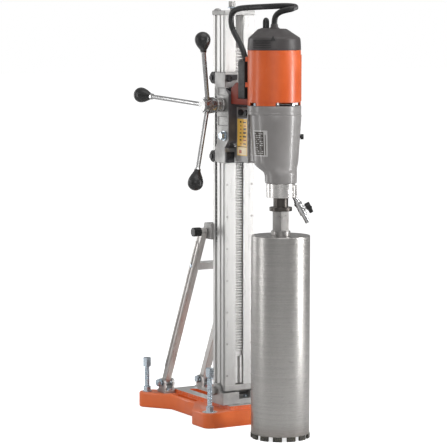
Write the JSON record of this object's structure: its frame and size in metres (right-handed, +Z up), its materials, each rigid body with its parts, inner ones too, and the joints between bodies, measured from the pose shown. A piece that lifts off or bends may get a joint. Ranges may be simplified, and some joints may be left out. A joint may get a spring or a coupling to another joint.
{
  "type": "core drill rig",
  "caption": "Core drill rig: levelled base, tilting column with rack and rear struts, crank-fed carriage, wet drill motor and a diamond core bit.",
  "frame": {"origin": "on the base underside, straight under the column", "axes": "+Z up along the column, -Y towards the drilled hole, -X the crank side"},
  "size_m": [0.2836, 0.556, 0.9645],
  "materials": {
    "orange_paint": "satin orange powder coat on an aluminium casting",
    "grey_casting": "satin grey paint on an aluminium die casting",
    "cast_alloy": "blasted casting with milled faces",
    "drawn_alloy": "anodised, fine drawing lines",
    "ground_steel": "ground",
    "plain_steel": "machined",
    "zinc_plate": "blue zinc plating",
    "bright_chrome": "polished",
    "black_plastic": "moulded, fine grain",
    "dark_cap": "moulded, fine grain",
    "black_oxide": "black oxide",
    "scale_strip": "black strip with white ticks",
    "label_film": "printed film, plain blocks only",
    "red_plastic": "moulded",
    "dark_steel": "phosphated",
    "tube_steel": "turned and brushed round the tube",
    "diamond_matrix": "sintered, gritty",
    "winding": "laminations and windings",
    "lead_rubber": "ribbed rubber"
  },
  "bodies": {
    "base": {"base_plate": "orange_paint", "column_bracket": "cast_alloy", "base_screws": "zinc_plate", "strut_lugs": "cast_alloy", "lock_nuts": "zinc_plate", "pivot_bolt": "plain_steel"},
    "column": {"column_profile": "drawn_alloy", "column_foot_block": "cast_alloy", "rack": "plain_steel", "guide_strips": "ground_steel", "guide_screws": "plain_steel", "depth_scale": "scale_strip", "column_cap": "cast_alloy"},
    "jack_washer": {"jack_washer": "zinc_plate"},
    "jack_screw": {"jack_screw": "plain_steel"},
    "strut_clamp": {"strut_clamp_block": "cast_alloy"},
    "clamp_knob": {"clamp_knob": "black_plastic"},
    "struts": {"strut_leg_left": "drawn_alloy", "strut_leg_right": "drawn_alloy", "strut_cross_brace": "drawn_alloy", "strut_bolts": "zinc_plate"},
    "carriage": {"carriage_frame": "cast_alloy", "roller_mounts": "black_oxide", "adapter_plate": "grey_casting", "adapter_bolts": "black_oxide", "label_plates": "label_film", "motor_housing": "orange_paint", "motor_cap": "dark_cap", "motor_handle": "black_plastic", "switch_housing": "black_plastic", "power_lead": "lead_rubber", "stator": "winding", "bearings": "ground_steel", "gearbox_housing": "grey_casting", "water_collar": "bright_chrome", "water_valve": "bright_chrome"},
    "rollers_upper": {"guide_rollers_upper": "black_plastic"},
    "rollers_lower": {"guide_rollers_lower": "black_plastic"},
    "crank": {"feed_pinion_shaft": "plain_steel", "crank_hub": "bright_chrome", "crank_arms": "bright_chrome", "crank_knobs": "black_plastic"},
    "carriage_lock": {"carriage_lock": "zinc_plate"},
    "switch_button": {"switch_button": "red_plastic"},
    "armature": {"armature": "winding"},
    "countershaft": {"countershaft": "plain_steel"},
    "spindle": {"spindle": "dark_steel", "bit_adapter": "plain_steel", "core_bit_tube": "tube_steel", "diamond_segments": "diamond_matrix"},
    "gear_selector": {"gear_selector": "black_plastic"},
    "valve_lever": {"valve_lever": "black_plastic"},
    "level_pad_1": {"level_pad_1": "plain_steel"},
    "level_screw_1": {"level_screw_1": "zinc_plate"},
    "level_pad_2": {"level_pad_2": "plain_steel"},
    "level_screw_2": {"level_screw_2": "zinc_plate"},
    "level_pad_3": {"level_pad_3": "plain_steel"},
    "level_screw_3": {"level_screw_3": "zinc_plate"},
    "level_pad_4": {"level_pad_4": "plain_steel"},
    "level_screw_4": {"level_screw_4": "zinc_plate"}
  },
  "joints": [
    {"name": "level_pad_1_slide", "type": "slide", "parent": "base", "child": "level_pad_1", "axis": [0, 0, -1], "range_m": [0, 0.015]},
    {"name": "level_screw_1_turn", "type": "hinge", "parent": "level_pad_1", "child": "level_screw_1", "pos_m": [-0.085, -0.041, 0.06], "axis": [0, 0, -1], "range_deg": [0, 3100]},
    {"name": "level_pad_2_slide", "type": "slide", "parent": "base", "child": "level_pad_2", "axis": [0, 0, -1], "range_m": [0, 0.015]},
    {"name": "level_screw_2_turn", "type": "hinge", "parent": "level_pad_2", "child": "level_screw_2", "pos_m": [0.085, -0.041, 0.06], "axis": [0, 0, -1], "range_deg": [0, 3100]},
    {"name": "level_pad_3_slide", "type": "slide", "parent": "base", "child": "level_pad_3", "axis": [0, 0, -1], "range_m": [0, 0.015]},
    {"name": "level_screw_3_turn", "type": "hinge", "parent": "level_pad_3", "child": "level_screw_3", "pos_m": [-0.085, 0.263, 0.06], "axis": [0, 0, -1], "range_deg": [0, 3100]},
    {"name": "level_pad_4_slide", "type": "slide", "parent": "base", "child": "level_pad_4", "axis": [0, 0, -1], "range_m": [0, 0.015]},
    {"name": "level_screw_4_turn", "type": "hinge", "parent": "level_pad_4", "child": "level_screw_4", "pos_m": [0.085, 0.263, 0.06], "axis": [0, 0, -1], "range_deg": [0, 3100]},
    {"name": "column_tilt", "type": "hinge", "parent": "base", "child": "column", "pos_m": [0, 0, 0.075], "axis": [-1, 0, 0], "range_deg": [0, 30]},
    {"name": "strut_clamp_slide", "type": "slide", "parent": "column", "child": "strut_clamp", "axis": [0, 0, 1], "range_m": [0, 0.128]},
    {"name": "struts_fold", "type": "hinge", "parent": "strut_clamp", "child": "struts", "pos_m": [0, 0.049, 0.438], "axis": [-1, 0, 0], "range_deg": [0, 3.6]},
    {"name": "clamp_knob_turn", "type": "hinge", "parent": "strut_clamp", "child": "clamp_knob", "pos_m": [-0.072, 0.049, 0.438], "axis": [1, 0, 0], "range_deg": [-360, 0]},
    {"name": "jack_rise", "type": "slide", "parent": "column", "child": "jack_washer", "axis": [0, 0, 1], "range_m": [0, 0.03]},
    {"name": "jack_screw_turn", "type": "hinge", "parent": "jack_washer", "child": "jack_screw", "pos_m": [0, 0.005, 0.95], "axis": [0, 0, 1], "range_deg": [0, 7210]},
    {"name": "carriage_slide", "type": "slide", "parent": "column", "child": "carriage", "axis": [0, 0, 1], "range_m": [-0.4, 0.1]},
    {"name": "crank_turn", "type": "hinge", "parent": "carriage", "child": "crank", "pos_m": [-0.089, -0.0405, 0.732], "axis": [1, 0, 0], "range_deg": [-360, 1435]},
    {"name": "rollers_upper_spin", "type": "hinge", "parent": "carriage", "child": "rollers_upper", "pos_m": [0, 0.012, 0.792], "axis": [1, 0, 0], "range_deg": [-4700, 1200]},
    {"name": "rollers_lower_spin", "type": "hinge", "parent": "carriage", "child": "rollers_lower", "pos_m": [0, 0.012, 0.614], "axis": [1, 0, 0], "range_deg": [-4700, 1200]},
    {"name": "carriage_lock_turn", "type": "hinge", "parent": "carriage", "child": "carriage_lock", "pos_m": [-0.05, -0.047, 0.663], "axis": [1, 0, 0], "range_deg": [-90, 0]},
    {"name": "switch_press", "type": "slide", "parent": "carriage", "child": "switch_button", "axis": [0, -1, 0], "range_m": [0, 0.0025], "stiffness_N_per_m": 500},
    {"name": "spindle_spin", "type": "hinge", "parent": "carriage", "child": "spindle", "pos_m": [0, -0.208, 0.5], "axis": [0, 0, -1], "continuous": true},
    {"name": "countershaft_spin", "type": "hinge", "parent": "carriage", "child": "countershaft", "pos_m": [0.02321, -0.19137, 0.65], "axis": [0, 0, -1], "continuous": true},
    {"name": "armature_spin", "type": "hinge", "parent": "carriage", "child": "armature", "pos_m": [0, -0.179, 0.8], "axis": [0, 0, -1], "continuous": true},
    {"name": "gear_selector_turn", "type": "hinge", "parent": "carriage", "child": "gear_selector", "pos_m": [0.04642, -0.21305, 0.666], "axis": [0.866, -0.5, 0], "range_deg": [0, 180]},
    {"name": "water_tap_turn", "type": "hinge", "parent": "carriage", "child": "valve_lever", "pos_m": [0.03848, -0.23022, 0.5071], "axis": [0.7647, -0.4415, 0.4695], "range_deg": [0, 90]}
  ],
  "couplings": [
    {"joint": "level_screw_1_turn", "follows": "level_pad_1_slide", "rad_per_m": 3590.4},
    {"joint": "level_screw_2_turn", "follows": "level_pad_2_slide", "rad_per_m": 3590.4},
    {"joint": "level_screw_3_turn", "follows": "level_pad_3_slide", "rad_per_m": 3590.4},
    {"joint": "level_screw_4_turn", "follows": "level_pad_4_slide", "rad_per_m": 3590.4},
    {"joint": "strut_clamp_slide", "follows": "column_tilt", "m_per_rad": 0.24335},
    {"joint": "struts_fold", "follows": "column_tilt", "ratio": 0.117},
    {"joint": "crank_turn", "follows": "carriage_slide", "rad_per_m": -62.5},
    {"joint": "jack_screw_turn", "follows": "jack_rise", "rad_per_m": 4188.8},
    {"joint": "rollers_upper_spin", "follows": "carriage_slide", "rad_per_m": 203.25},
    {"joint": "rollers_lower_spin", "follows": "carriage_slide", "rad_per_m": 203.25},
    {"joint": "countershaft_spin", "follows": "spindle_spin", "ratio": -2.1667},
    {"joint": "armature_spin", "follows": "spindle_spin", "ratio": 6.2593}
  ]
}
